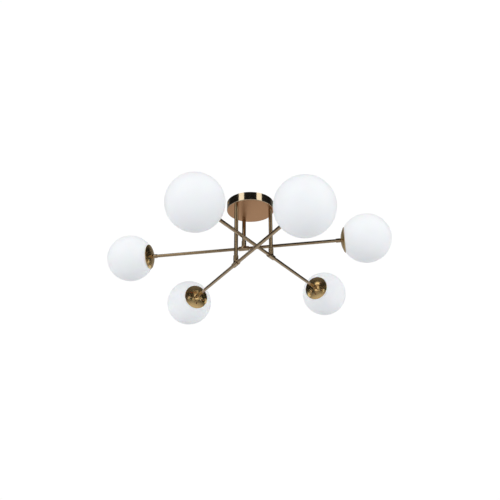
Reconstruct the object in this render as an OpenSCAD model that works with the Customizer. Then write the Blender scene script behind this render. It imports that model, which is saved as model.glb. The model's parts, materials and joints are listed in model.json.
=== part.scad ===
// Ceiling light: three arms crossed one above another on three stems, an opal globe at each arm's end.
// Origin: centre of the ceiling face. +Z is up, so the whole light hangs at negative z.
// Each arm has an end a and an end b. The upper arm lies along X.

/* [Canopy] */
// Outer diameter of the canopy
canopy_d = 146; // [130:1:190]
// Height of the canopy, ceiling to underside
canopy_h = 27; // [27:1:45]
// Sheet thickness of the canopy
canopy_wall = 1.2; // [0.8:0.1:1.6]
// Outer radius of the canopy's spun corner
canopy_corner = 2.2; // [1.8:0.1:3]

/* [Ceiling bracket] */
// Width of the steel strap
strap_w = 24; // [20:1:30]
// Thickness of the steel strap
strap_t = 2; // [1.5:0.1:3]
// Circle on which the two ceiling holes lie
ceiling_pcd = 90; // [60:1:96]
// Diameter of a ceiling hole
ceiling_hole_d = 5; // [4:0.1:6]
// Shank diameter of the two side screws
side_screw_d = 4; // [3:0.5:5]

/* [Stems] */
// Underside of the canopy to the upper arm's axis
upper_drop = 101; // [90:1:110]
// Underside of the canopy to the middle arm's axis
middle_drop = 160; // [150:1:170]
// Underside of the canopy to the lower arm's axis
lower_drop = 200; // [195:1:260]
// Wall of a stem tube
stem_wall = 1; // [0.8:0.1:1.5]
// Wall of the hollow pins in a stem's ends
pin_wall = 1.25; // [1.1:0.05:1.6]

/* [Arms] */
// Stem axis to globe centre
reach = 380; // [330:1:460]
// Outer diameter of an arm tube
arm_d = 10; // [9:0.5:12]
// Wall of an arm tube
arm_wall = 1; // [0.8:0.1:1.2]
// Turn of the upper arm from its stem's outward direction
upper_turn = 60; // [56:1:64]
// Turn of the middle arm from its stem's outward direction
middle_turn = 70; // [60:1:74]
// Turn of the lower arm from its stem's outward direction
lower_turn = 68; // [60:1:74]
// Length of a tee's sleeve along the arm
tee_len = 32; // [26:1:44]
// Height of a tee's boss above the arm's axis
boss_h = 26; // [24:1:34]
// Wall of the tee around its tubes
tee_wall = 2.4; // [2:0.1:4]
// Wall of the tee's boss around its pin
boss_wall = 2.9; // [2.4:0.1:4]

/* [Globes] */
// Outer diameter of a glass globe
globe_d = 150; // [130:1:180]
// Thickness of the glass
glass_t = 2.5; // [2:0.1:4]
// Radius of the globe's mouth
mouth_r = 30.4; // [29.5:0.1:34]
// Depth of the globe's inward neck
neck_h = 9; // [7:0.5:11]

/* [Globe caps] */
// Diameter of a cap's rim
cap_d = 80; // [78:1:96]
// Sheet thickness of a cap
cap_wall = 1.2; // [0.8:0.1:1.5]
// Gap between a cap and the glass
cap_gap = 1; // [0.6:0.1:2]
// Number of vent holes in a cap
vent_count = 6; // [3:1:8]
// Diameter of a vent hole
vent_d = 5; // [3:0.5:6]
// Distance of a vent hole from the cap's axis
vent_r = 24; // [20:0.5:24]
// Wall of the collar behind a cap
collar_wall = 1.45; // [1:0.05:3]
// Length of the collar behind a cap
collar_len = 14; // [8:1:20]

/* [Lamps] */
// Diameter of a lamp holder
holder_d = 27; // [24:0.5:30]
// Length of a lamp holder
holder_len = 47; // [42:1:52]
// Diameter of a bulb's envelope
bulb_d = 45; // [38:1:50]
// Overall length of a bulb
bulb_len = 78; // [72:1:86]
// Diameter of one sheathed lead
lead_d = 2.8; // [2.2:0.1:3.4]

/* [Hidden] */
$fn = 64;
// Radial gaps: pieces that are fixed together, that turn together, and that only pass.
snug = 0.05;
run = 0.06;
loose = 0.3;
// How far a cut runs past the face it opens.
past = 1;

UP = 0;
MID = 1;
LOW = 2;
STEM_ANGLE = [120, 0, 240];
DROP = [upper_drop, middle_drop, lower_drop];
TURN = [upper_turn, middle_turn, lower_turn];

brass = [0.68, 0.53, 0.33];
polished_brass = [0.83, 0.65, 0.36];
steel = [0.72, 0.73, 0.74];
opal = [0.95, 0.95, 0.97];
porcelain = [0.93, 0.92, 0.88];
white_plastic = [0.88, 0.88, 0.86];
sheath = [0.75, 0.74, 0.72];

// Lamp leads: two lie side by side in a stem and part at the tee.
lead_r = lead_d / 2;
lead_x = lead_r + loose;
lead_bore_r = lead_x + lead_r + 0.2;
bend_r = 5;

// Hollow pins, and the stem tube around them.
pin_step = 0.4;
spigot_r = lead_bore_r + pin_wall;
nipple_r = spigot_r + pin_step;
stem_bore_r = nipple_r + snug;
stem_r = stem_bore_r + stem_wall;

// Canopy, from the ceiling at z = 0 down.
canopy_r = canopy_d / 2;
underside_z = -canopy_h;
floor_z = underside_z + canopy_wall;
washer_r = nipple_r + 2;
washer_t = 1;
nut_across = 2 * nipple_r + 4;
nut_t = 3;
thread_past = 1.5;
nipple_above = washer_t + nut_t + thread_past;
nipple_below = 12;
nipple_top_z = floor_z + nipple_above;
stem_circle_r = canopy_r - canopy_corner - washer_r - loose;

// Bracket and junction block.
tab_h = 14;
tab_w = strap_w / 2;
tab_r = canopy_r - canopy_wall - 0.4;
strap_turn = 30;
side_screw_z = -9;
side_head_r = side_screw_d;
side_head_h = side_screw_d / 2;
side_dome_r = 1.2 * side_head_r;
side_shank = canopy_r - tab_r + strap_t + 2;
slot_w = 1;
slot_deep = 0.8;
head_gap = 0.1;
block_r = 15;
block_h = 12;
block_z = -strap_t - block_h;
entry_deep = 6;
entry_h = lead_d + 2 * loose;
lead_z = block_z + block_h / 2;
clamp_r = 2;
clamp_sunk = 1;

// Swivel between a stem and its tee.
flange_t = 1.5;
spigot_len = 15;
spigot_above = 12;
stem_end = boss_h + flange_t;
grub_r = 1.5;
groove_deep = 0.6;
groove_w = 2 * grub_r + 0.4;
groove_z = boss_h - 7;
boss_bore_r = spigot_r + run;
boss_r = boss_bore_r + boss_wall;
edge = 0.6;

// Inside of a tee.
arm_r = arm_d / 2;
arm_bore_r = arm_r - arm_wall;
sleeve_r = arm_r + tee_wall;
stop_x = 6;

// Lamp end, measured from the globe's centre towards the arm.
globe_r = globe_d / 2;
neck_r = mouth_r + glass_t;
neck_z = sqrt(pow(globe_r, 2) - pow(neck_r, 2)) - neck_h;
cap_in_r = globe_r + cap_gap;
cap_out_r = cap_in_r + cap_wall;
ring_r = mouth_r - run;
ring_wall = 2;
tube_end = cap_in_r - 9;
collar_r = arm_r + snug + collar_wall;
holder_r = holder_d / 2;
holder_top = sqrt(pow(cap_in_r, 2) - pow(holder_r, 2)) - snug;
holder_mouth = holder_top - holder_len;

// Bulb: a glass envelope on a screw base. Its shoulder stops short of the holder's mouth.
bulb_r = bulb_d / 2;
bulb_base_r = 7;
bulb_base_len = 21;
bulb_tip_r = 3;
bulb_tip_h = 3;
bulb_neck_r = 12;
bulb_glass = 1;
shoulder_z = holder_mouth - 1;
bulb_top = shoulder_z + bulb_base_len;
envelope_z = bulb_top - bulb_len + bulb_r;
socket_r = bulb_base_r + run;
socket_deep = bulb_base_len + 1;

// ---- places ----

// Stem i's axis at the canopy's underside, with +X pointing outward.
module at_stem(i) {
    rotate([0, 0, STEM_ANGLE[i]])
        translate([stem_circle_r, 0, underside_z]) children();
}

// The crossing of stem i and arm i, with +X towards the arm's end a (0) or end b (1).
module at_tee(i, end = 0) {
    at_stem(i)
        translate([0, 0, -DROP[i]])
            rotate([0, 0, TURN[i] + 180 * end]) children();
}

// The centre of the globe at one end of arm i, with +Z pointing back along the arm.
module at_globe(i, end) {
    at_tee(i, end)
        translate([reach, 0, 0])
            rotate([0, -90, 0]) children();
}

// The two side screws, with +Z pointing out of the canopy's wall.
module at_side_screws() {
    for (side = [0, 180])
        rotate([0, 0, strap_turn + side])
            translate([canopy_r, 0, side_screw_z])
                rotate([0, 90, 0]) children();
}

// ---- shapes that repeat ----

// A cylinder with a bore through it.
module pipe(r, bore, h) {
    difference() {
        cylinder(r = r, h = h);
        translate([0, 0, -past]) cylinder(r = bore, h = h + 2 * past);
    }
}

// A disc whose lower edge is rounded.
module pan(r, corner, h) {
    translate([0, 0, corner]) cylinder(r = r, h = h - corner);
    cylinder(r = r - corner, h = h);
    translate([0, 0, corner])
        rotate_extrude()
            translate([r - corner, 0]) circle(r = corner);
}

// A turned length along +Z, with both ends chamfered.
module turned(r, h) {
    cylinder(r1 = r - edge, r2 = r, h = edge);
    translate([0, 0, edge]) cylinder(r = r, h = h - 2 * edge);
    translate([0, 0, h - edge]) cylinder(r1 = r, r2 = r - edge, h = edge);
}

// A quarter bend of a lead: it starts at the origin, heading down, and ends heading along +X.
module lead_bend() {
    translate([bend_r, 0, 0])
        rotate([90, 180, 0])
            rotate_extrude(angle = 90)
                translate([bend_r, 0]) circle(r = lead_r);
}

// ---- canopy and its fittings ----

module canopy() {
    color(brass)
        difference() {
            translate([0, 0, underside_z]) pan(canopy_r, canopy_corner, canopy_h);
            translate([0, 0, floor_z])
                pan(canopy_r - canopy_wall, canopy_corner - canopy_wall, canopy_h);
            for (i = [UP : LOW])
                at_stem(i)
                    translate([0, 0, -past]) cylinder(r = nipple_r + snug, h = canopy_wall + 2 * past);
            at_side_screws()
                translate([0, 0, -canopy_wall - past])
                    cylinder(r = side_screw_d / 2 + loose, h = canopy_wall + 2 * past);
        }
}

// A strap with both ends bent down. Its ends follow the canopy's round wall.
module ceiling_bracket() {
    color(steel)
        difference() {
            intersection() {
                translate([0, 0, -tab_h]) cylinder(r = tab_r, h = tab_h);
                rotate([0, 0, strap_turn])
                    union() {
                        translate([-canopy_r, -strap_w / 2, -strap_t]) cube([canopy_d, strap_w, strap_t]);
                        for (side = [-1, 1])
                            translate([side * (tab_r - strap_t / 2) - strap_t / 2, -tab_w / 2, -tab_h])
                                cube([strap_t, tab_w, tab_h]);
                    }
            }
            for (side = [0, 180])
                rotate([0, 0, strap_turn + side])
                    translate([ceiling_pcd / 2, 0, -strap_t - past])
                        cylinder(r = ceiling_hole_d / 2, h = strap_t + 2 * past);
            at_side_screws()
                translate([0, 0, tab_r - canopy_r - strap_t - past])
                    cylinder(r = side_screw_d / 2 + snug, h = strap_t + 2 * past);
        }
}

module canopy_screws() {
    color(polished_brass)
        at_side_screws() {
            translate([0, 0, -side_shank])
                cylinder(r = side_screw_d / 2, h = side_shank + side_head_h / 2);
            difference() {
                intersection() {
                    translate([0, 0, head_gap]) cylinder(r = side_head_r, h = side_head_h);
                    translate([0, 0, side_head_h - side_dome_r]) sphere(r = side_dome_r);
                }
                translate([-side_head_r, -slot_w / 2, side_head_h - slot_deep])
                    cube([2 * side_head_r, slot_w, slot_deep + past]);
            }
        }
}

// A round block under the strap, with one entry for each stem's two leads.
module junction_block() {
    color(white_plastic)
        difference() {
            translate([0, 0, block_z]) cylinder(r = block_r, h = block_h);
            for (i = [UP : LOW])
                rotate([0, 0, STEM_ANGLE[i]]) {
                    translate([block_r - entry_deep, -lead_bore_r - loose, lead_z - entry_h / 2])
                        cube([entry_deep + past, 2 * (lead_bore_r + loose), entry_h]);
                    translate([block_r - entry_deep / 2, 0, block_z - past])
                        cylinder(r = clamp_r + snug, h = block_h / 2 + past);
                }
        }
}

module clamp_screws() {
    length = lead_z - lead_r - loose - block_z - clamp_sunk;
    color(steel)
        for (i = [UP : LOW])
            rotate([0, 0, STEM_ANGLE[i]])
                translate([block_r - entry_deep / 2, 0, block_z + clamp_sunk])
                    difference() {
                        cylinder(r = clamp_r, h = length);
                        translate([-clamp_r - past, -slot_w / 2, -past])
                            cube([2 * (clamp_r + past), slot_w, past + slot_deep]);
                    }
}

// The six leads from the stems' tops, each through a quarter bend, to the junction block.
module supply_leads() {
    start = nipple_top_z - underside_z + loose;
    bend = lead_z - underside_z - bend_r;
    color(sheath)
        for (i = [UP : LOW], side = [-1, 1])
            at_stem(i)
                translate([side * lead_x * cos(TURN[i]), side * lead_x * sin(TURN[i]), 0]) {
                    lead_run = stem_circle_r + side * lead_x * cos(TURN[i]);
                    length = lead_run - block_r - bend_r + entry_deep - past;
                    translate([0, 0, start]) cylinder(r = lead_r, h = bend - start);
                    translate([0, 0, bend]) rotate([0, 180, 0]) lead_bend();
                    translate([-bend_r, 0, bend + bend_r])
                        rotate([0, -90, 0]) cylinder(r = lead_r, h = length);
                }
}

// ---- stems ----

module stem_nipples() {
    color(steel)
        for (i = [UP : LOW])
            at_stem(i)
                translate([0, 0, -nipple_below])
                    pipe(nipple_r, lead_bore_r, nipple_below + canopy_wall + nipple_above);
}

module stem_washers() {
    color(steel)
        for (i = [UP : LOW])
            at_stem(i)
                translate([0, 0, canopy_wall]) pipe(washer_r, nipple_r + snug, washer_t);
}

module stem_nuts() {
    color(steel)
        for (i = [UP : LOW])
            at_stem(i)
                translate([0, 0, canopy_wall + washer_t])
                    difference() {
                        rotate([0, 0, 30]) cylinder(r = nut_across / sqrt(3), h = nut_t, $fn = 6);
                        translate([0, 0, -past]) cylinder(r = nipple_r + snug, h = nut_t + 2 * past);
                    }
}

module stem(i) {
    length = DROP[i] - stem_end;
    color(brass)
        at_stem(i)
            translate([0, 0, -length]) pipe(stem_r, stem_bore_r, length);
}

// Hollow pins in the stems' lower ends. The tees turn on them.
module swivel_pins() {
    color(brass)
        for (i = [UP : LOW])
            at_tee(i)
                difference() {
                    union() {
                        translate([0, 0, boss_h - spigot_len]) cylinder(r = spigot_r, h = spigot_len);
                        translate([0, 0, boss_h]) cylinder(r = stem_r, h = flange_t);
                        translate([0, 0, stem_end]) cylinder(r = nipple_r, h = spigot_above);
                    }
                    cylinder(r = lead_bore_r, h = stem_end + spigot_above + past);
                    translate([0, 0, groove_z - groove_w / 2])
                        pipe(spigot_r + past, spigot_r - groove_deep, groove_w);
                }
}

// ---- arms ----

// A sleeve along the arm, with an upright boss around the swivel pin.
module tee(i) {
    top = boss_h - run;
    color(brass)
        at_tee(i)
            difference() {
                union() {
                    translate([-tee_len / 2, 0, 0])
                        rotate([0, 90, 0]) turned(sleeve_r, tee_len);
                    cylinder(r = boss_r, h = top - edge);
                    translate([0, 0, top - edge]) cylinder(r1 = boss_r, r2 = boss_r - edge, h = edge);
                }
                cylinder(r = lead_bore_r + loose, h = boss_h + past);
                translate([0, 0, boss_h - spigot_len - loose])
                    cylinder(r = boss_bore_r, h = spigot_len + past);
                translate([-tee_len / 2 - past, 0, 0])
                    rotate([0, 90, 0]) cylinder(r = arm_bore_r, h = tee_len + 2 * past);
                for (end = [0, 180])
                    rotate([0, 0, end])
                        translate([stop_x, 0, 0])
                            rotate([0, 90, 0]) cylinder(r = arm_r + snug, h = tee_len);
                translate([0, 0, groove_z])
                    rotate([90, 0, 0]) cylinder(r = grub_r + snug, h = boss_r + past);
            }
}

// The screw that locks the swivel. Its tip lies in the pin's groove.
module grub_screw(i) {
    tip = spigot_r - groove_deep + run;
    length = boss_r - tip - loose;
    color(steel)
        at_tee(i)
            translate([0, -tip, groove_z])
                rotate([90, 0, 0])
                    difference() {
                        cylinder(r = grub_r, h = length);
                        translate([0, 0, length - 1]) cylinder(r = grub_r / 2, h = 1 + past, $fn = 6);
                    }
}

module arm_tube(i, end) {
    start = stop_x + snug;
    color(brass)
        at_tee(i, end)
            translate([start, 0, 0])
                rotate([0, 90, 0]) pipe(arm_r, arm_bore_r, reach - tube_end - start);
}

// Both lamp leads of an arm: down the stem, round the tee, along the tubes.
module leads(i) {
    top = DROP[i] + nipple_top_z - underside_z;
    bend_x = lead_x + bend_r;
    color(sheath)
        for (end = [0, 1])
            at_tee(i, end) {
                translate([lead_x, 0, bend_r]) cylinder(r = lead_r, h = top - bend_r);
                translate([lead_x, 0, bend_r]) lead_bend();
                translate([bend_x, 0, 0])
                    rotate([0, 90, 0]) cylinder(r = lead_r, h = reach - tube_end - bend_x);
            }
}

module collars(i) {
    color(brass)
        for (end = [0, 1])
            at_globe(i, end)
                translate([0, 0, cap_out_r + snug])
                    difference() {
                        turned(collar_r, collar_len);
                        translate([0, 0, -past]) cylinder(r = arm_r + snug, h = collar_len + 2 * past);
                    }
}

// ---- lamp ends ----

// A spun dome that follows the glass, with a ring of vent holes.
module cap(i, end) {
    color(polished_brass)
        at_globe(i, end)
            difference() {
                intersection() {
                    sphere(r = cap_out_r);
                    cylinder(r = cap_d / 2, h = cap_out_r + past);
                }
                sphere(r = cap_in_r);
                translate([0, 0, cap_in_r - past]) cylinder(r = arm_r + snug, h = cap_wall + 2 * past);
                for (k = [1 : vent_count])
                    rotate([0, 0, k * 360 / vent_count])
                        translate([vent_r, 0, neck_z]) cylinder(r = vent_d / 2, h = cap_out_r);
            }
}

// The screwed rings inside the caps, onto which the globes turn.
module rings(i) {
    color(steel)
        for (end = [0, 1])
            at_globe(i, end)
                intersection() {
                    translate([0, 0, neck_z + 1]) pipe(ring_r, ring_r - ring_wall, cap_in_r - neck_z);
                    sphere(r = cap_in_r - snug);
                }
}

module holder(i, end) {
    color(porcelain)
        at_globe(i, end)
            difference() {
                translate([0, 0, holder_mouth]) turned(holder_r, holder_len);
                translate([0, 0, holder_mouth - past]) cylinder(r = socket_r, h = socket_deep + past);
                translate([0, 0, tube_end - 1]) cylinder(r = arm_r + snug, h = holder_top);
            }
}

// A blown globe whose mouth is a short neck turned inward.
module globe(i, end) {
    color(opal)
        at_globe(i, end)
            difference() {
                union() {
                    difference() {
                        sphere(r = globe_r);
                        sphere(r = globe_r - glass_t);
                    }
                    intersection() {
                        translate([0, 0, neck_z]) cylinder(r = neck_r, h = globe_r - neck_z);
                        sphere(r = globe_r);
                    }
                }
                translate([0, 0, neck_z - past]) cylinder(r = mouth_r, h = globe_r);
            }
}

module bulb(i, end) {
    cone_z = envelope_z + bulb_r / 2;
    color(opal)
        at_globe(i, end) {
            difference() {
                union() {
                    translate([0, 0, envelope_z]) sphere(r = bulb_r);
                    translate([0, 0, cone_z])
                        cylinder(r1 = bulb_r * sqrt(3) / 2, r2 = bulb_neck_r, h = shoulder_z - cone_z);
                }
                translate([0, 0, envelope_z]) sphere(r = bulb_r - bulb_glass);
            }
            translate([0, 0, shoulder_z - past])
                cylinder(r = bulb_base_r, h = bulb_base_len - bulb_tip_h + past);
            translate([0, 0, bulb_top - bulb_tip_h])
                cylinder(r1 = bulb_base_r, r2 = bulb_tip_r, h = bulb_tip_h);
        }
}

ceiling_bracket();
canopy();
canopy_screws();
junction_block();
clamp_screws();
supply_leads();
stem_nipples();
stem_nuts();
stem_washers();
stem(UP);  // upper_stem
stem(MID);  // middle_stem
stem(LOW);  // lower_stem
swivel_pins();
tee(UP);  // upper_tee
tee(MID);  // middle_tee
tee(LOW);  // lower_tee
grub_screw(UP);  // upper_grub_screw
grub_screw(MID);  // middle_grub_screw
grub_screw(LOW);  // lower_grub_screw
arm_tube(UP, 0);  // upper_tube_a
arm_tube(UP, 1);  // upper_tube_b
arm_tube(MID, 0);  // middle_tube_a
arm_tube(MID, 1);  // middle_tube_b
arm_tube(LOW, 0);  // lower_tube_a
arm_tube(LOW, 1);  // lower_tube_b
collars(UP);  // upper_collars
collars(MID);  // middle_collars
collars(LOW);  // lower_collars
cap(UP, 0);  // upper_cap_a
cap(UP, 1);  // upper_cap_b
cap(MID, 0);  // middle_cap_a
cap(MID, 1);  // middle_cap_b
cap(LOW, 0);  // lower_cap_a
cap(LOW, 1);  // lower_cap_b
rings(UP);  // upper_rings
rings(MID);  // middle_rings
rings(LOW);  // lower_rings
holder(UP, 0);  // upper_holder_a
holder(UP, 1);  // upper_holder_b
holder(MID, 0);  // middle_holder_a
holder(MID, 1);  // middle_holder_b
holder(LOW, 0);  // lower_holder_a
holder(LOW, 1);  // lower_holder_b
leads(UP);  // upper_leads
leads(MID);  // middle_leads
leads(LOW);  // lower_leads
globe(UP, 0);  // upper_globe_a
globe(UP, 1);  // upper_globe_b
globe(MID, 0);  // middle_globe_a
globe(MID, 1);  // middle_globe_b
globe(LOW, 0);  // lower_globe_a
globe(LOW, 1);  // lower_globe_b
bulb(UP, 0);  // upper_bulb_a
bulb(UP, 1);  // upper_bulb_b
bulb(MID, 0);  // middle_bulb_a
bulb(MID, 1);  // middle_bulb_b
bulb(LOW, 0);  // lower_bulb_a
bulb(LOW, 1);  // lower_bulb_b
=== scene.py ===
# Ceiling light with three crossed arms and six opal globes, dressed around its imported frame.
# Lengths are in metres, +Z is up, and the ceiling is at z = 0.
import json
import math

import bmesh
import bpy
from mathutils import Matrix, Vector, geometry


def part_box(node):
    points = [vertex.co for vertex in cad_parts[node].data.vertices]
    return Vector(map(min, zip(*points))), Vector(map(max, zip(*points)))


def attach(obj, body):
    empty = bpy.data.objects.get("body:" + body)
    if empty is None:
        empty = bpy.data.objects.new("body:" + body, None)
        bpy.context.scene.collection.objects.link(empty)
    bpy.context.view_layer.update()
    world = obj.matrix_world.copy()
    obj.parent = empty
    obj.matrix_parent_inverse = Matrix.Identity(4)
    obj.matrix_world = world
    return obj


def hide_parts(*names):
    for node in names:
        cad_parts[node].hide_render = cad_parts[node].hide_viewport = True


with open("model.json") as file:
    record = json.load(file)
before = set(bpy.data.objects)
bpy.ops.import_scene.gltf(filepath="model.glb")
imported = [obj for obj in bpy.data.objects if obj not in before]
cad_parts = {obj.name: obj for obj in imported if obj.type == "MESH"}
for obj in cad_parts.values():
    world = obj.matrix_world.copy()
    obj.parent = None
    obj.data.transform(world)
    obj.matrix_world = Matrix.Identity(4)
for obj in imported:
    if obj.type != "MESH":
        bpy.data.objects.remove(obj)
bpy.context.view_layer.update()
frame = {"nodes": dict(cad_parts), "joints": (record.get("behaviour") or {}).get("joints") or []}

# The frame says where each arm crosses its stem, and where each globe's centre is.
# Every arm has an end a and an end b, and each end's axis points outward along the arm.
ARMS = ("upper", "middle", "lower")
ENDS = ("a", "b")
joint = {j["name"]: j for j in frame["joints"]}
crossing = {arm: Vector(joint[f"{arm}_arm_swivel"]["pos_m"]) for arm in ARMS}
centre = {}
outward = {}
for arm in ARMS:
    for end in ENDS:
        centre[arm, end] = Vector(joint[f"{arm}_globe_{end}_unscrew"]["pos_m"])
        outward[arm, end] = Vector(joint[f"{arm}_globe_{end}_unscrew"]["axis"]).normalized()


# ---------------------------------------------------------------------------
# Canopy. A shallow pan of brass sheet, spun over a former on a lathe. Its rim is
# buffed bright, its underside is brushed in circles, and both are lacquered.
# ---------------------------------------------------------------------------
class Finish:
    """A material whose shader's steady values are set on its own sockets."""

    def __init__(self, name, **values):
        self.material = bpy.data.materials.new(name)
        self.material.use_nodes = True
        self.nodes = self.material.node_tree.nodes
        self.links = self.material.node_tree.links
        self.shader = self.nodes["Principled BSDF"]
        for socket, value in values.items():
            self.shader.inputs[socket.replace("_", " ")].default_value = value
        place = self.nodes.new("ShaderNodeTexCoord")
        self.place = place.outputs["Object"]

    def join(self, source, target):
        self.links.new(source, target)

    def stretched(self, scale):
        """The place on the piece, with each axis multiplied by scale."""
        node = self.nodes.new("ShaderNodeMapping")
        node.inputs["Scale"].default_value = scale
        self.join(self.place, node.inputs["Vector"])
        return node.outputs["Vector"]

    def noise(self, where, scale, detail=3.0, roughness=0.55):
        node = self.nodes.new("ShaderNodeTexNoise")
        node.inputs["Scale"].default_value = scale
        node.inputs["Detail"].default_value = detail
        node.inputs["Roughness"].default_value = roughness
        self.join(where, node.inputs["Vector"])
        return node.outputs["Fac"]

    def spread(self, value, low, high, start=0.3, stop=0.7):
        """value, read from start to stop, as a number from low to high."""
        node = self.nodes.new("ShaderNodeMapRange")
        node.inputs["From Min"].default_value = start
        node.inputs["From Max"].default_value = stop
        node.inputs["To Min"].default_value = low
        node.inputs["To Max"].default_value = high
        self.join(value, node.inputs["Value"])
        return node.outputs["Result"]

    def sums(self, operation, first, second):
        node = self.nodes.new("ShaderNodeMath")
        node.operation = operation
        for socket, value in zip(node.inputs, (first, second)):
            if isinstance(value, (int, float)):
                socket.default_value = value
            else:
                self.join(value, socket)
        return node.outputs["Value"]

    def colours(self, value, low, high, start=0.3, stop=0.7):
        """value, read from start to stop, as a colour from low to high."""
        node = self.nodes.new("ShaderNodeValToRGB")
        node.color_ramp.elements[0].position = start
        node.color_ramp.elements[0].color = (*low, 1)
        node.color_ramp.elements[1].position = stop
        node.color_ramp.elements[1].color = (*high, 1)
        self.join(value, node.inputs["Fac"])
        return node.outputs["Color"]

    def mixed(self, share, first, second, blend="MIX"):
        """Two colours mixed by a share, which is a number or a socket."""
        node = self.nodes.new("ShaderNodeMix")
        node.data_type = "RGBA"
        node.blend_type = blend
        if isinstance(share, (int, float)):
            node.inputs[0].default_value = share
        else:
            self.join(share, node.inputs[0])
        for socket, value in ((node.inputs[6], first), (node.inputs[7], second)):
            if isinstance(value, tuple):
                socket.default_value = (*value, 1)
            else:
                self.join(value, socket)
        return node.outputs[2]

    def raised(self, height, depth, strength=1.0):
        """Relief of that depth, in metres, from a height from 0 to 1."""
        node = self.nodes.new("ShaderNodeBump")
        node.inputs["Strength"].default_value = strength
        node.inputs["Distance"].default_value = depth
        self.join(height, node.inputs["Height"])
        self.join(node.outputs["Normal"], self.shader.inputs["Normal"])

    def use(self, **sources):
        for socket, source in sources.items():
            self.join(source, self.shader.inputs[socket.replace("_", " ")])


def dress(node_name, finish):
    """A CAD node keeps its shape and gets this finish."""
    node = frame["nodes"][node_name]
    node.data.materials.clear()
    node.data.materials.append(finish.material)


def circling(finish):
    """How far out from local Z, the angle round it in radians, and how far up."""
    split = finish.nodes.new("ShaderNodeSeparateXYZ")
    finish.join(finish.place, split.inputs["Vector"])
    across, along, up = split.outputs
    out = finish.sums("MULTIPLY", across, across)
    out = finish.sums("ADD", out, finish.sums("MULTIPLY", along, along))
    out = finish.sums("SQRT", out, 0)
    turn = finish.sums("ARCTAN2", along, across)
    return out, turn, up


canopy_low, canopy_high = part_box("canopy")
canopy_brass = Finish("canopy_brass", Metallic=1.0)
out, turn, up = circling(canopy_brass)
polar = canopy_brass.nodes.new("ShaderNodeCombineXYZ")
canopy_brass.join(canopy_brass.sums("MULTIPLY", out, 2200.0), polar.inputs[0])
canopy_brass.join(canopy_brass.sums("MULTIPLY", turn, 1.5), polar.inputs[1])
brushing = canopy_brass.noise(polar.outputs[0], 1.0, 4.0, 0.7)
underside = canopy_brass.spread(up, 1.0, 0.0, canopy_low.z + 0.0001, canopy_low.z + 0.0006)
patina = canopy_brass.noise(canopy_brass.place, 38.0, 4.0)
brushed = canopy_brass.colours(brushing, (0.42, 0.225, 0.110), (0.53, 0.290, 0.145))
buffed = canopy_brass.colours(patina, (0.62, 0.525, 0.385), (0.66, 0.555, 0.41))
canopy_brass.use(
    Base_Color=canopy_brass.mixed(underside, buffed, brushed),
    Roughness=canopy_brass.sums(
        "ADD",
        canopy_brass.spread(underside, 0.09, 0.34, 0.0, 1.0),
        canopy_brass.spread(brushing, -0.02, 0.04),
    ),
)
canopy_brass.raised(brushing, 0.000012)
dress("canopy", canopy_brass)


# ---------------------------------------------------------------------------
# Ceiling bracket. A pressed steel strap with both ends bent down, zinc plated,
# with two holes for the ceiling and two tapped ones for the canopy's screws.
# ---------------------------------------------------------------------------
zinc = Finish("zinc_plate", Metallic=1.0)
crystals = zinc.noise(zinc.place, 260.0, 2.0)
smears = zinc.noise(zinc.place, 60.0, 4.0)
zinc.use(
    Base_Color=zinc.colours(crystals, (0.52, 0.53, 0.55), (0.70, 0.70, 0.68)),
    Roughness=zinc.spread(smears, 0.28, 0.46),
)
zinc.raised(crystals, 0.00001)
for node_name in ("ceiling_bracket", "clamp_screws", "stem_nipples", "stem_nuts", "stem_washers"):
    dress(node_name, zinc)


# ---------------------------------------------------------------------------
# Canopy screws. Two domed brass screws with slotted heads go through the rim
# into the bracket's bent ends. They are turned, then polished.
# ---------------------------------------------------------------------------
polished = Finish("polished_brass", Metallic=1.0, Coat_Weight=0.2, Coat_Roughness=0.06)
out, turn, _ = circling(polished)
polar = polished.nodes.new("ShaderNodeCombineXYZ")
polished.join(polished.sums("MULTIPLY", out, 1600.0), polar.inputs[0])
polished.join(polished.sums("MULTIPLY", turn, 0.8), polar.inputs[1])
turning = polished.noise(polar.outputs[0], 1.0, 3.0, 0.6)
handling = polished.noise(polished.place, 45.0, 5.0, 0.6)
polished.use(
    Base_Color=polished.colours(handling, (0.80, 0.50, 0.17), (0.92, 0.61, 0.24)),
    Roughness=polished.sums(
        "ADD", polished.spread(handling, 0.13, 0.22), polished.spread(turning, 0.0, 0.05)
    ),
)
polished.raised(turning, 0.000006)
dress("canopy_screws", polished)


# ---------------------------------------------------------------------------
# Junction block and leads. A round block moulded in white plastic joins the six
# leads. Each lead is stranded copper in a braided glass-fibre sheath.
# ---------------------------------------------------------------------------
moulded = Finish("white_moulding", IOR=1.49)
moulded.use(
    Base_Color=moulded.colours(
        moulded.noise(moulded.place, 90.0), (0.80, 0.80, 0.78), (0.86, 0.86, 0.84)
    ),
    Roughness=moulded.spread(moulded.noise(moulded.place, 320.0), 0.34, 0.48),
)
moulded.raised(moulded.noise(moulded.place, 2400.0, 1.0), 0.00001)
dress("junction_block", moulded)

sheath = Finish("braided_sheath", Sheen_Weight=0.2)
braid = sheath.nodes.new("ShaderNodeTexVoronoi")
braid.inputs["Scale"].default_value = 1500.0
sheath.join(sheath.place, braid.inputs["Vector"])
threads = braid.outputs["Distance"]
sheath.use(
    Base_Color=sheath.colours(threads, (0.80, 0.78, 0.74), (0.55, 0.53, 0.49), 0.1, 0.8),
    Roughness=sheath.spread(threads, 0.55, 0.8, 0.1, 0.8),
)
sheath.raised(threads, 0.00006)
for node_name in ("supply_leads", "upper_leads", "middle_leads", "lower_leads"):
    dress(node_name, sheath)


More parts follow.
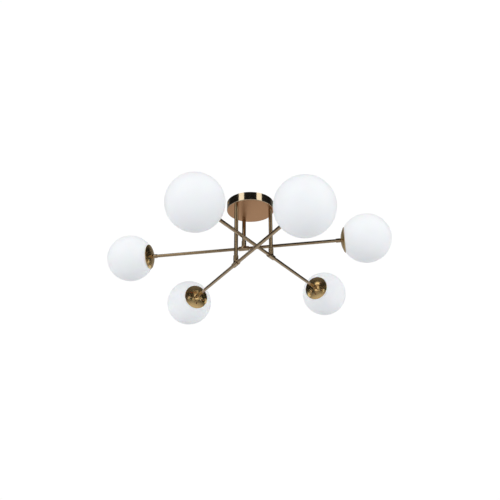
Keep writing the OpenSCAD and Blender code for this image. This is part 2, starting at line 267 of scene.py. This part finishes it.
# ---------------------------------------------------------------------------
# Stems. Three drawn brass tubes of different length, darkened to an antique tone
# and relieved along their length, screwed on nipples under the canopy.
# ---------------------------------------------------------------------------
def antique_brass(name, grain_scale):
    """Darkened and lacquered brass, with a fine grain stretched as its making left it."""
    brass = Finish(name, Metallic=1.0, Coat_Weight=0.15, Coat_Roughness=0.10)
    grain = brass.noise(brass.stretched(grain_scale), 1.0, 4.0, 0.6)
    toning = brass.noise(brass.place, 24.0, 3.0)
    tone = brass.colours(toning, (0.37, 0.270, 0.165), (0.45, 0.335, 0.205), 0.35, 0.65)
    brass.use(
        Base_Color=brass.mixed(brass.spread(grain, 0.0, 0.35), tone, (0.28, 0.195, 0.110)),
        Roughness=brass.sums(
            "ADD", brass.spread(toning, 0.10, 0.15), brass.spread(grain, 0.0, 0.05)
        ),
    )
    brass.raised(grain, 0.0000012)
    return brass


def measured(node_name, start, along):
    """Where a CAD node begins and ends along an axis, and its widest radius round it."""
    lengths = []
    widest = 0.0
    for vertex in frame["nodes"][node_name].data.vertices:
        offset = vertex.co - start
        length = offset.dot(along)
        if length > 0:
            lengths.append(length)
            widest = max(widest, (offset - along * length).length)
    return min(lengths), max(lengths), widest


def eased(corners, steps=4):
    """An outline through corners (radius, height, ease), each rounded over its ease."""
    outline = []
    for i, (radius, height, ease) in enumerate(corners):
        here = Vector((radius, height))
        if not ease:
            outline.append(here)
            continue
        back = (Vector(corners[i - 1][:2]) - here).normalized() * ease
        on = (Vector(corners[(i + 1) % len(corners)][:2]) - here).normalized() * ease
        outline.append(here + back * 1.4)
        for k in range(steps + 1):
            share = k / steps
            outline.append(here + back * (1 - share) ** 2 + on * share**2)
        outline.append(here + on * 1.4)
    return outline


def spun(name, outline, finish, turns):
    """A mesh made by spinning a closed outline of (radius, height) round local Z."""
    shape = bmesh.new()
    rows = []
    for radius, height in outline:
        if radius < 1e-7:
            rows.append([shape.verts.new((0, 0, height))])
            continue
        rows.append(
            [
                shape.verts.new(
                    (
                        radius * math.cos(math.tau * k / turns),
                        radius * math.sin(math.tau * k / turns),
                        height,
                    )
                )
                for k in range(turns)
            ]
        )
    for row, following in zip(rows, rows[1:] + rows[:1]):
        for k in range(turns):
            corners = []
            for vertex in (
                row[k % len(row)],
                row[(k + 1) % turns % len(row)],
                following[(k + 1) % turns % len(following)],
                following[k % len(following)],
            ):
                if vertex not in corners:
                    corners.append(vertex)
            if len(corners) > 2:
                shape.faces.new(corners)
    bmesh.ops.recalc_face_normals(shape, faces=shape.faces)
    mesh = bpy.data.meshes.new(name)
    shape.to_mesh(mesh)
    shape.free()
    mesh.shade_smooth()
    mesh.materials.append(finish.material)
    return mesh


def fitted(name, mesh, start, along, level, body, slot, *nodes):
    """A piece with its local Z along one direction and its local X near another."""
    piece = bpy.data.objects.new(name, mesh)
    bpy.context.scene.collection.objects.link(piece)
    across = (level - along * level.dot(along)).normalized()
    turned = Matrix((across, along.cross(across), along)).transposed()
    piece.matrix_world = Matrix.Translation(start) @ turned.to_4x4()
    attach(piece, body)
    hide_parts(*nodes)
    return piece


UP = Vector((0, 0, 1))
drawn_brass = antique_brass("drawn_antique_brass", (1500.0, 1500.0, 10.0))
stem_wall = 0.001
tube_edge = 0.0002
for arm in ARMS:
    low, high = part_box(f"{arm}_stem")
    foot = Vector((crossing[arm].x, crossing[arm].y, low.z))
    stem_r = (high.x - low.x) / 2
    height = high.z - low.z
    outline = eased(
        [
            (stem_r - stem_wall, 0, tube_edge),
            (stem_r, 0, tube_edge),
            (stem_r, height, tube_edge),
            (stem_r - stem_wall, height, tube_edge),
        ]
    )
    fitted(
        f"{arm}_stem_tube",
        spun(f"{arm}_stem_tube", outline, drawn_brass, 64),
        foot,
        UP,
        outward[arm, "a"],
        "ceiling_frame",
        "antique_brass",
        f"{arm}_stem",
    )
dress("swivel_pins", drawn_brass)


# ---------------------------------------------------------------------------
# Tees. Each is a brass sleeve with an upright boss, cast in one and turned, which
# swivels on the stem's hollow pin and is held by a small socketed grub screw.
# ---------------------------------------------------------------------------
turned_brass = antique_brass("turned_antique_brass", (500.0, 500.0, 500.0))
sleeve_r = 0.0074
sleeve_half = 0.016
boss_r = 0.00751
boss_top = 0.02594
tee_edge = 0.0007
tee_fillet = 0.0022
tee_grid = 0.00045
lead_hole_r = 0.0036
pin_hole_r = 0.00461
pin_hole_foot = 0.0107
arm_hole_r = 0.004
socket_r = 0.00505
socket_start = 0.006
grub_hole_r = 0.00155
grub_hole_long = 0.010
past_top = 0.030
past_end = 0.020


def rounded_rod(out, along, radius, half):
    """How far a point is outside a rod with rounded ends, from its place in the rod."""
    beyond = Vector((max(out - radius + tee_edge, 0), max(abs(along) - half + tee_edge, 0)))
    within = min(max(out - radius + tee_edge, abs(along) - half + tee_edge), 0)
    return beyond.length + within - tee_edge


def outside_tee(point):
    """How far a point is outside the tee, whose sleeve and boss flow into each other."""
    sleeve = rounded_rod(math.hypot(point.y, point.z), point.x, sleeve_r, sleeve_half)
    boss = rounded_rod(math.hypot(point.x, point.y), point.z - boss_top / 2, boss_r, boss_top / 2)
    share = max(tee_fillet - abs(sleeve - boss), 0) / tee_fillet
    return min(sleeve, boss) - share * share * tee_fillet / 4


def bored(piece, radius, start, stop, placed):
    """Bores a round hole from start to stop along the local Z of a placement."""
    drill = spun(
        "drill",
        [(0, start), (radius, start), (radius, stop), (0, stop)],
        turned_brass,
        48,
    )
    drill.transform(placed)
    cutter = bpy.data.objects.new("drill", drill)
    bpy.context.scene.collection.objects.link(cutter)
    cut = piece.modifiers.new("bore", "BOOLEAN")
    cut.operation = "DIFFERENCE"
    cut.solver = "EXACT"
    cut.object = cutter
    finish_mesh(piece)
    bpy.data.objects.remove(cutter)


def finish_mesh(piece):
    """The piece's mesh as its modifiers leave it."""
    bpy.context.view_layer.update()
    shown = piece.evaluated_get(bpy.context.evaluated_depsgraph_get())
    made = bpy.data.meshes.new_from_object(shown)
    piece.modifiers.clear()
    piece.data = made


casting = spun(
    "tee_casting",
    [(0, -sleeve_half), (sleeve_r, -sleeve_half), (sleeve_r, sleeve_half), (0, sleeve_half)],
    turned_brass,
    64,
)
casting.transform(Matrix.Rotation(math.radians(90), 4, "Y"))
boss = spun("tee_boss", [(0, 0), (boss_r, 0), (boss_r, boss_top), (0, boss_top)], turned_brass, 64)
joined = bmesh.new()
joined.from_mesh(casting)
joined.from_mesh(boss)
joined.to_mesh(casting)
joined.free()
rough_tee = bpy.data.objects.new("rough_tee", casting)
bpy.context.scene.collection.objects.link(rough_tee)
skin = rough_tee.modifiers.new("skin", "REMESH")
skin.mode = "VOXEL"
skin.voxel_size = tee_grid
finish_mesh(rough_tee)
step = tee_grid / 20
for vertex in rough_tee.data.vertices:
    for _ in range(4):
        away = outside_tee(vertex.co)
        slope = Vector(
            [
                outside_tee(vertex.co + offset) - outside_tee(vertex.co - offset)
                for offset in (Vector((step, 0, 0)), Vector((0, step, 0)), Vector((0, 0, step)))
            ]
        )
        vertex.co -= slope.normalized() * away
grub_low, grub_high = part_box("upper_grub_screw")
grub_level = Vector((0, 0, (grub_low.z + grub_high.z) / 2 - crossing["upper"].z))
upright = Matrix.Identity(4)
lengthwise = Matrix.Rotation(math.radians(90), 4, "Y")
sideways = Matrix.Translation(grub_level) @ Matrix.Rotation(math.radians(90), 4, "X")
for radius, start, stop, placed in (
    (lead_hole_r, 0.0, past_top, upright),
    (pin_hole_r, pin_hole_foot, past_top, upright),
    (arm_hole_r, -past_end, past_end, lengthwise),
    (socket_r, socket_start, past_end, lengthwise),
    (socket_r, -past_end, -socket_start, lengthwise),
    (grub_hole_r, 0.0, grub_hole_long, sideways),
):
    bored(rough_tee, radius, start, stop, placed)
rough_tee.data.shade_smooth()
rough_tee.data.set_sharp_from_angle(angle=math.radians(40))
tee_mesh = rough_tee.data
bpy.data.objects.remove(rough_tee)
for arm in ARMS:
    fitted(
        f"{arm}_tee_body",
        tee_mesh,
        crossing[arm],
        UP,
        outward[arm, "a"],
        f"{arm}_arm",
        "antique_brass",
        f"{arm}_tee",
    )
    dress(f"{arm}_grub_screw", zinc)


# ---------------------------------------------------------------------------
# Arm tubes and collars. Drawn brass tubes push into the tee from both sides,
# and a turned collar behind each cap hides the tube's clamp.
# ---------------------------------------------------------------------------
tube_wall = 0.001
collar_edge = 0.0006
collar_bore = 0.00505
groove_deep = 0.0003
groove_half = 0.0005
for arm in ARMS:
    for end in ENDS:
        along = outward[arm, end]
        start, stop, tube_r = measured(f"{arm}_tube_{end}", crossing[arm], along)
        outline = eased(
            [
                (tube_r - tube_wall, 0, tube_edge),
                (tube_r, 0, tube_edge),
                (tube_r, stop - start, tube_edge),
                (tube_r - tube_wall, stop - start, tube_edge),
            ]
        )
        fitted(
            f"{arm}_arm_tube_{end}",
            spun(f"{arm}_arm_tube_{end}", outline, drawn_brass, 64),
            crossing[arm] + along * start,
            along,
            UP,
            f"{arm}_arm",
            "antique_brass",
            f"{arm}_tube_{end}",
        )
        start, stop, collar_r = measured(f"{arm}_collars", crossing[arm], along)
        length = stop - start
        outline = [(collar_bore, 0, collar_edge / 3), (collar_r, 0, collar_edge)]
        for middle in (length * 0.2, length * 0.8):
            outline += [
                (collar_r, middle - groove_half, groove_deep / 3),
                (collar_r - groove_deep, middle, groove_deep / 2),
                (collar_r, middle + groove_half, groove_deep / 3),
            ]
        outline += [(collar_r, length, collar_edge), (collar_bore, length, collar_edge / 3)]
        fitted(
            f"{arm}_collar_{end}",
            spun(f"{arm}_collar_{end}", eased(outline), turned_brass, 64),
            crossing[arm] + along * start,
            along,
            UP,
            f"{arm}_arm",
            "antique_brass",
            f"{arm}_collars",
        )


# ---------------------------------------------------------------------------
# Caps. Each is a dome of brass sheet spun to follow the glass, with six vent
# holes round it, polished bright and lacquered. A steel ring inside takes the globe.
# ---------------------------------------------------------------------------
spun_brass = Finish("spun_polished_brass", Metallic=1.0, Coat_Weight=0.15, Coat_Roughness=0.05)
out, turn, _ = circling(spun_brass)
polar = spun_brass.nodes.new("ShaderNodeCombineXYZ")
spun_brass.join(spun_brass.sums("MULTIPLY", out, 1500.0), polar.inputs[0])
spun_brass.join(spun_brass.sums("MULTIPLY", turn, 0.6), polar.inputs[1])
rings = spun_brass.noise(polar.outputs[0], 1.0, 3.0, 0.6)
lacquer = spun_brass.noise(spun_brass.place, 40.0, 3.0)
spun_brass.use(
    Base_Color=spun_brass.colours(lacquer, (0.84, 0.58, 0.26), (0.89, 0.63, 0.30), 0.35, 0.65),
    Roughness=spun_brass.sums(
        "ADD", spun_brass.spread(lacquer, 0.15, 0.21), spun_brass.spread(rings, 0.0, 0.04)
    ),
)
spun_brass.raised(rings, 0.0000008)

cap_r = 0.0772
cap_wall = 0.0012
cap_rim = 0.040
cap_bore = 0.00505
cap_edge = 0.0005
vent_count = 6
vent_ring = 0.024
vent_r = 0.0025
vent_points = 32
rim_points = 144
ring_stagger = 900.0
cap_grid = 0.0018


def on_dome(flat, depth=0.0):
    """The point of the dome over a flat place, that deep under its outer face."""
    over = Vector((flat.x, flat.y, math.sqrt(cap_r**2 - flat.length_squared)))
    return over.normalized() * (cap_r - depth)


def circle(middle, radius, count, start=0.0):
    """Evenly spaced flat points round a middle."""
    return [
        middle
        + Vector(
            (
                radius * math.cos(start + math.tau * k / count),
                radius * math.sin(start + math.tau * k / count),
            )
        )
        for k in range(count)
    ]


axis_point = Vector((0, 0))
vents = circle(axis_point, vent_ring, vent_count)
# Each edge of the sheet: its middle, its radius, which way the bare space lies, and its points.
edges = [
    (axis_point, cap_rim - cap_edge, 1, rim_points),
    (axis_point, cap_bore + cap_edge, -1, vent_points),
]
edges += [(vent, vent_r + cap_edge, -1, vent_points) for vent in vents]
flat_points = []
loops = []
for middle, radius, side, count in edges:
    loops.append(range(len(flat_points), len(flat_points) + count))
    flat_points += circle(middle, radius, count)
for middle, radius, side, count in edges:
    flat_points += circle(middle, radius - side * cap_edge / 2, count)
    flat_points += circle(middle, radius - side * cap_edge * 2.5, count)
ring_r = cap_bore + cap_edge * 4 + cap_grid
while ring_r < cap_rim - cap_edge * 4 - cap_grid / 2:
    count = max(24, round(math.tau * ring_r / cap_grid))
    for point in circle(axis_point, ring_r, count, ring_r * ring_stagger):
        if min((point - vent).length for vent in vents) > vent_r + cap_edge * 3.5 + cap_grid / 2:
            flat_points.append(point)
    ring_r += cap_grid
borders = [(loop[k], loop[(k + 1) % len(loop)]) for loop in loops for k in range(len(loop))]
flat_points, _, triangles, *_ = geometry.delaunay_2d_cdt(flat_points, borders, [], 0, 1e-7)
sheet = bmesh.new()
outer = [sheet.verts.new(on_dome(point)) for point in flat_points]
inner = [sheet.verts.new(on_dome(point, cap_wall)) for point in flat_points]
for triangle in triangles:
    middle = sum((flat_points[i] for i in triangle), Vector((0, 0))) / 3
    if middle.length < cap_bore + cap_edge:
        continue
    if min((middle - vent).length for vent in vents) < vent_r + cap_edge:
        continue
    sheet.faces.new([outer[i] for i in triangle])
    sheet.faces.new([inner[i] for i in reversed(triangle)])
# Every edge is rounded over from the outer face to the inner one.
rounding = []
for degrees in (30, 60, 90):
    angle = math.radians(degrees)
    rounding.append((cap_edge * math.sin(angle), cap_edge * (1 - math.cos(angle))))
rounding += [(shift, cap_wall - depth) for shift, depth in reversed(rounding)]
for (middle, radius, side, count), loop in zip(edges, loops):
    bands = [[outer[i] for i in loop]]
    for shift, depth in rounding:
        band = []
        for i in loop:
            away = (flat_points[i] - middle).normalized() * side
            band.append(sheet.verts.new(on_dome(flat_points[i] + away * shift, depth)))
        bands.append(band)
    bands.append([inner[i] for i in loop])
    for band, following in zip(bands, bands[1:]):
        for k in range(count):
            sheet.faces.new(
                [band[k], band[(k + 1) % count], following[(k + 1) % count], following[k]]
            )
bmesh.ops.recalc_face_normals(sheet, faces=sheet.faces)
cap_mesh = bpy.data.meshes.new("cap_dome")
sheet.to_mesh(cap_mesh)
sheet.free()
cap_mesh.shade_smooth()
cap_mesh.materials.append(spun_brass.material)
for arm in ARMS:
    for end in ENDS:
        fitted(
            f"{arm}_cap_dome_{end}",
            cap_mesh,
            centre[arm, end],
            -outward[arm, end],
            UP,
            f"{arm}_arm",
            "polished_brass",
            f"{arm}_cap_{end}",
        )
    dress(f"{arm}_rings", zinc)


# ---------------------------------------------------------------------------
# Lamp holders. Glazed porcelain sleeves with a screwed socket, clamped on the
# end of each arm tube inside the cap.
# ---------------------------------------------------------------------------
porcelain = Finish("glazed_porcelain", Coat_Weight=0.6, Coat_Roughness=0.08)
speckle = porcelain.noise(porcelain.place, 500.0, 2.0)
porcelain.use(
    Base_Color=porcelain.colours(speckle, (0.83, 0.81, 0.76), (0.90, 0.89, 0.85)),
    Roughness=porcelain.spread(speckle, 0.16, 0.26),
)
porcelain.raised(porcelain.noise(porcelain.place, 130.0), 0.00006)
for arm in ARMS:
    for end in ENDS:
        dress(f"{arm}_holder_{end}", porcelain)


# ---------------------------------------------------------------------------
# Globes. Opal glass blown in a mould, with the mouth turned inward to a short
# neck. The outside is acid-satined, so it hardly mirrors the room.
# ---------------------------------------------------------------------------
opal = Finish(
    "opal_glass",
    IOR=1.5,
    Specular_IOR_Level=0.3,
    Subsurface_Weight=0.12,
    Subsurface_Scale=0.01,
)
flow = opal.noise(opal.stretched((1.0, 1.0, 0.5)), 16.0, 3.0)
satin = opal.noise(opal.place, 900.0, 2.0)
opal.use(
    Base_Color=opal.colours(flow, (0.945, 0.940, 0.965), (0.965, 0.960, 0.985)),
    Roughness=opal.sums("ADD", opal.spread(flow, 0.42, 0.50), opal.spread(satin, -0.02, 0.02)),
)
opal.raised(satin, 0.000006)
globe_r = 0.075
glass = 0.0025
mouth_r = 0.0304
neck_out = mouth_r + glass
neck_z = 0.0584
lip = 0.0011
arc_steps = 72


def arc(radius, stop_r, reverse=False):
    """A sphere's outline from its far pole to where it is stop_r wide near the mouth."""
    stop = math.pi - math.asin(stop_r / radius)
    points = [
        (radius * math.sin(stop * k / arc_steps), -radius * math.cos(stop * k / arc_steps), 0)
        for k in range(arc_steps + 1)
    ]
    return points[::-1] if reverse else points


outline = arc(globe_r, mouth_r + lip * 2)
outline += [
    (mouth_r, math.sqrt(globe_r**2 - mouth_r**2), lip),
    (mouth_r, neck_z, lip),
    (neck_out, neck_z, lip),
    (neck_out, math.sqrt((globe_r - glass) ** 2 - neck_out**2), lip),
]
outline += arc(globe_r - glass, neck_out + lip * 2, reverse=True)
globe_mesh = spun("blown_globe", eased(outline), opal, 128)
for arm in ARMS:
    for end in ENDS:
        fitted(
            f"{arm}_blown_globe_{end}",
            globe_mesh,
            centre[arm, end],
            -outward[arm, end],
            UP,
            f"{arm}_shade_{end}",
            "opal_glass",
            f"{arm}_globe_{end}",
        )


# ---------------------------------------------------------------------------
# Bulbs. Frosted glass lamps on small screw bases, one in each holder.
# ---------------------------------------------------------------------------
frosted = Finish("frosted_bulb", IOR=1.5, Subsurface_Weight=0.1, Subsurface_Scale=0.004)
powder = frosted.noise(frosted.place, 700.0, 3.0)
frosted.use(
    Base_Color=frosted.colours(powder, (0.86, 0.86, 0.84), (0.92, 0.92, 0.90)),
    Roughness=frosted.spread(powder, 0.30, 0.45),
)
frosted.raised(powder, 0.00001)
for arm in ARMS:
    for end in ENDS:
        dress(f"{arm}_bulb_{end}", frosted)


# ---------------------------------------------------------------------------
# Room. A plain pale floor at the height it has below a ceiling light, soft white
# light all round, and two tall soft boxes either side of the camera that show only in
# bright metal.
# ---------------------------------------------------------------------------
floor_drop = 2.4
floor_half = 30.0
floor_mesh = bpy.data.meshes.new("floor")
floor_mesh.from_pydata(
    [
        (x * floor_half, y * floor_half, -floor_drop)
        for x, y in ((-1, -1), (1, -1), (1, 1), (-1, 1))
    ],
    [],
    [(0, 1, 2, 3)],
)
floor = bpy.data.objects.new("floor", floor_mesh)
bpy.context.scene.collection.objects.link(floor)
pale = Finish("pale_floor", Specular_IOR_Level=0.2)
pale.use(
    Base_Color=pale.colours(pale.noise(pale.place, 3.0), (0.78, 0.78, 0.79), (0.80, 0.80, 0.81)),
    Roughness=pale.spread(pale.noise(pale.place, 40.0), 0.6, 0.8),
)
floor_mesh.materials.append(pale.material)
floor.visible_glossy = False

camera_at = Vector((0.3003, -1.4818, -0.8586))
camera_turn = math.radians(11.49)
camera_tilt = math.radians(24.78)
camera_data = bpy.data.cameras.new("camera")
camera_data.lens = 39.49
camera_data.sensor_width = 36.0
camera_data.clip_end = 60.0
camera = bpy.data.objects.new("camera", camera_data)
camera.location = camera_at
camera.rotation_euler = (math.radians(90) + camera_tilt, 0, camera_turn)
bpy.context.scene.collection.objects.link(camera)
bpy.context.scene.camera = camera


box_height = 0.9
box_width = 1.0
box_tall = 2.2
box_distance = 2.3
box_power = 9.6
box_tint = (1.0, 0.97, 0.90)


def soft_box(name, turn_from_camera):
    """A soft box at that turn in degrees round the light from the camera's side."""
    data = bpy.data.lights.new(name, "AREA")
    data.shape = "RECTANGLE"
    data.size = box_width
    data.size_y = box_tall
    data.energy = box_power
    data.color = box_tint
    box = bpy.data.objects.new(name, data)
    toward = math.atan2(camera_at.y, camera_at.x) + math.radians(turn_from_camera)
    box.location = (
        box_distance * math.cos(toward),
        box_distance * math.sin(toward),
        box_height,
    )
    aim = Vector((0, 0, -0.15)) - Vector(box.location)
    box.rotation_euler = aim.to_track_quat("-Z", "Y").to_euler()
    box.visible_camera = False
    box.visible_diffuse = False
    bpy.context.scene.collection.objects.link(box)


soft_box("left_box", -44)
soft_box("right_box", 44)

# The light differs by what it meets. Seen straight on, the studio is white. Matt
# surfaces get soft light all round, most of it from the pale walls. Bright metal mirrors
# a dark room, lighter below, and the soft boxes, but not the floor.
world = bpy.data.worlds.new("studio")
world.use_nodes = True
bpy.context.scene.world = world
nodes = world.node_tree.nodes
links = world.node_tree.links
nodes.clear()
ray = nodes.new("ShaderNodeLightPath")
direction = nodes.new("ShaderNodeTexCoord")


def lobe(toward, low, high, start=0.0, stop=1.0):
    """Light that goes from low to high as the way turns from start to stop toward a direction."""
    dot = nodes.new("ShaderNodeVectorMath")
    dot.operation = "DOT_PRODUCT"
    dot.inputs[1].default_value = toward.normalized()
    links.new(direction.outputs["Generated"], dot.inputs[0])
    level = nodes.new("ShaderNodeMapRange")
    level.inputs["From Min"].default_value = start
    level.inputs["From Max"].default_value = stop
    level.inputs["To Min"].default_value = low
    level.inputs["To Max"].default_value = high
    links.new(dot.outputs["Value"], level.inputs["Value"])
    return level.outputs["Result"]


def added(first, second):
    node = nodes.new("ShaderNodeMath")
    node.operation = "ADD"
    links.new(first, node.inputs[0])
    links.new(second, node.inputs[1])
    return node.outputs["Value"]


def chosen(share, first, second):
    node = nodes.new("ShaderNodeMix")
    node.data_type = "RGBA"
    links.new(share, node.inputs[0])
    for socket, value in ((node.inputs[6], first), (node.inputs[7], second)):
        if isinstance(value, tuple):
            socket.default_value = value
        else:
            links.new(value, socket)
    return node.outputs[2]


behind = -Vector((camera_at.x, camera_at.y, 0))
matt = lobe(UP, 2.30, 0.86, 0.0, 0.35)
mirror = added(lobe(UP, 0.010, 0.14, 0.6), lobe(-UP, 0.0, 0.56, 0.0, 0.5))
mirror = added(mirror, lobe(behind, 0.0, 0.30, 0.4))
light = chosen(ray.outputs["Is Glossy Ray"], matt, mirror)
light = chosen(ray.outputs["Is Camera Ray"], light, (1.02, 1.02, 1.02, 1))
back = nodes.new("ShaderNodeBackground")
links.new(light, back.inputs["Color"])
world_output = nodes.new("ShaderNodeOutputWorld")
links.new(back.outputs["Background"], world_output.inputs["Surface"])
bpy.context.scene.view_settings.view_transform = "Standard"
